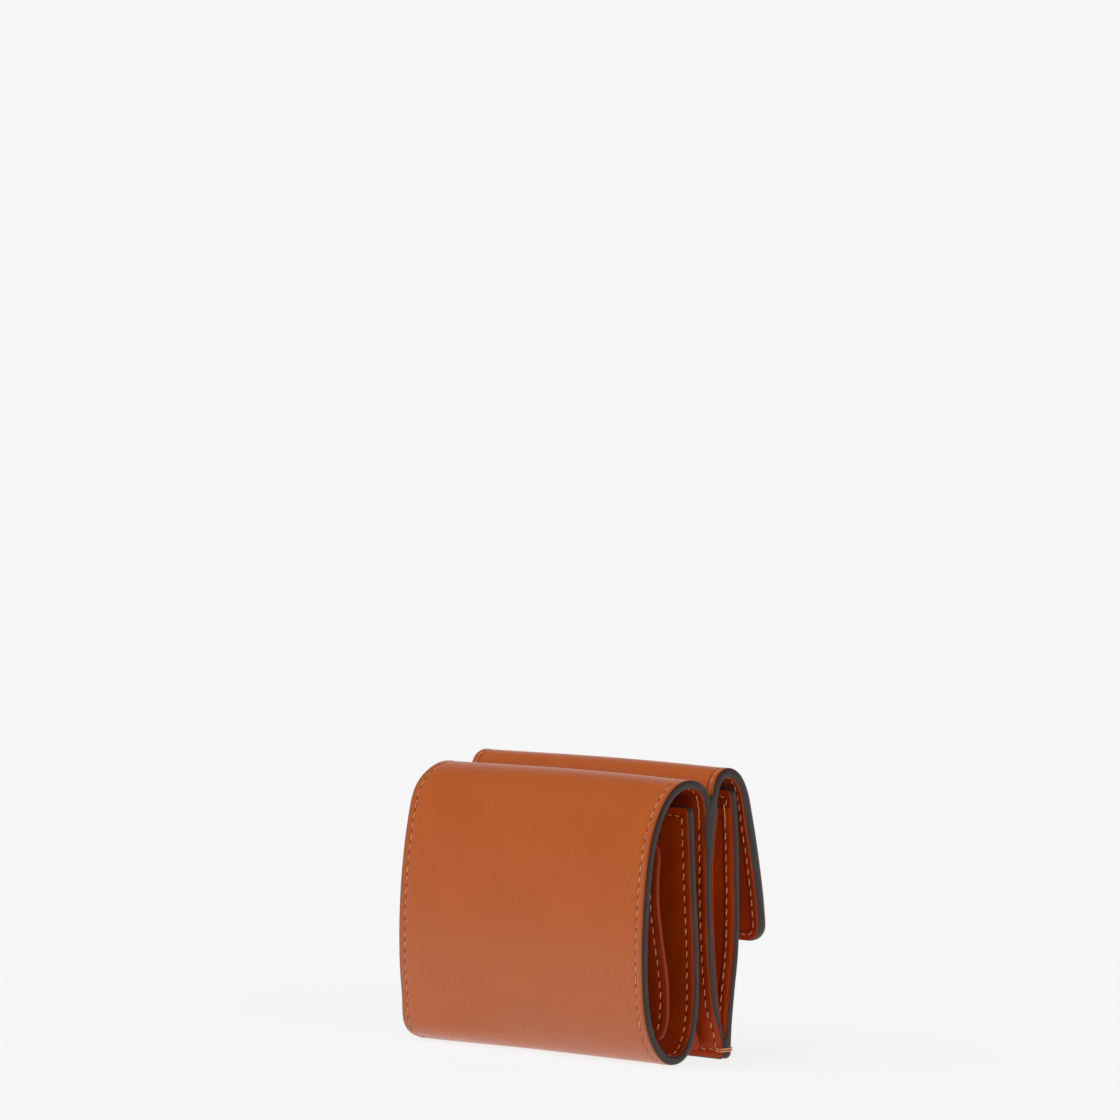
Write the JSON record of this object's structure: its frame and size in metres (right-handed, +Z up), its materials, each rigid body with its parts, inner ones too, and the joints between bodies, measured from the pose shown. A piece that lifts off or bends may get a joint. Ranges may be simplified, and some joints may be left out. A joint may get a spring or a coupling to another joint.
{
  "type": "trifold wallet",
  "caption": "Compact folded leather wallet with a tucked inner panel, card slots, and a coin pocket with a hinged snap flap.",
  "frame": {"origin": "middle of the bounding box at its base, on the surface the closed wallet stands on", "axes": "+X along the folds, +Y from the main panel towards the flap, +Z up, from the bottom folds to the top folds"},
  "size_m": [0.1, 0.0502, 0.0825],
  "materials": {
    "smooth_calf": "smooth tan calf leather with a soft sheen",
    "lining_calf": "tan calf lining, slightly deeper in colour",
    "edge_paint": "satin dark grey-brown edge paint, domed",
    "thread": "waxed golden tan stitching thread",
    "board": "bonded fibre stiffener board",
    "gilt_metal": "polished gilt press stud"
  },
  "bodies": {
    "coin_body": {"wall_leather": "smooth_calf", "wall_lining": "lining_calf", "wall_stiffener": "board", "flap_tail_leather": "smooth_calf", "flap_tail_lining": "lining_calf", "slip_pocket": "lining_calf", "gusset_right": "lining_calf", "gusset_left": "lining_calf"},
    "top_spine": {"spine_leather": "smooth_calf", "spine_lining": "lining_calf"},
    "main_panel": {"main_leather": "smooth_calf", "main_lining": "lining_calf", "main_stiffener": "board", "card_block": "lining_calf", "card_slot_1": "lining_calf", "card_slot_2": "lining_calf", "card_slot_3": "lining_calf"},
    "inner_panel": {"inner_leather": "smooth_calf", "inner_lining": "lining_calf", "inner_stiffener": "board"},
    "flap_spine": {"flap_spine_leather": "smooth_calf", "flap_spine_lining": "lining_calf"},
    "flap": {"flap_leather": "smooth_calf", "flap_lining": "lining_calf", "flap_stiffener": "board", "snap_cap": "gilt_metal", "snap_socket": "gilt_metal"},
    "pocket_front": {"pocket_leather": "smooth_calf", "pocket_lining": "lining_calf", "snap_stud": "gilt_metal", "snap_rivet": "gilt_metal"}
  },
  "joints": [
    {"name": "top_fold", "type": "hinge", "parent": "coin_body", "child": "top_spine", "pos_m": [0, 0.00007, 0.07754], "axis": [-1, 0, 0], "range_deg": [0, 90]},
    {"name": "main_fold", "type": "hinge", "parent": "top_spine", "child": "main_panel", "pos_m": [0, -0.01452, 0.07625], "axis": [-1, 0, 0], "range_deg": [0, 90]},
    {"name": "inner_fold", "type": "hinge", "parent": "main_panel", "child": "inner_panel", "pos_m": [0, -0.01244, 0], "axis": [-1, 0, 0], "range_deg": [0, 40.5]},
    {"name": "flap_fold", "type": "hinge", "parent": "coin_body", "child": "flap_spine", "pos_m": [0, 0.00656, 0.08186], "axis": [1, 0, 0], "range_deg": [-2.5, 80]},
    {"name": "flap_swing", "type": "hinge", "parent": "flap_spine", "child": "flap", "pos_m": [0, 0.01432, 0.08023], "axis": [1, 0, 0], "range_deg": [-2.5, 80]},
    {"name": "pocket_gape", "type": "hinge", "parent": "coin_body", "child": "pocket_front", "pos_m": [0, 0.01041, 0], "axis": [-1, 0, 0], "range_deg": [-0.4, 12], "deforming": ["gusset_right", "gusset_left"]}
  ],
  "couplings": [
    {"joint": "main_fold", "follows": "top_fold", "ratio": 1},
    {"joint": "inner_fold", "follows": "top_fold", "ratio": 0.45},
    {"joint": "flap_swing", "follows": "flap_fold", "ratio": 1},
    {"joint": "pocket_gape", "follows": "flap_fold", "ratio": 0.15}
  ]
}
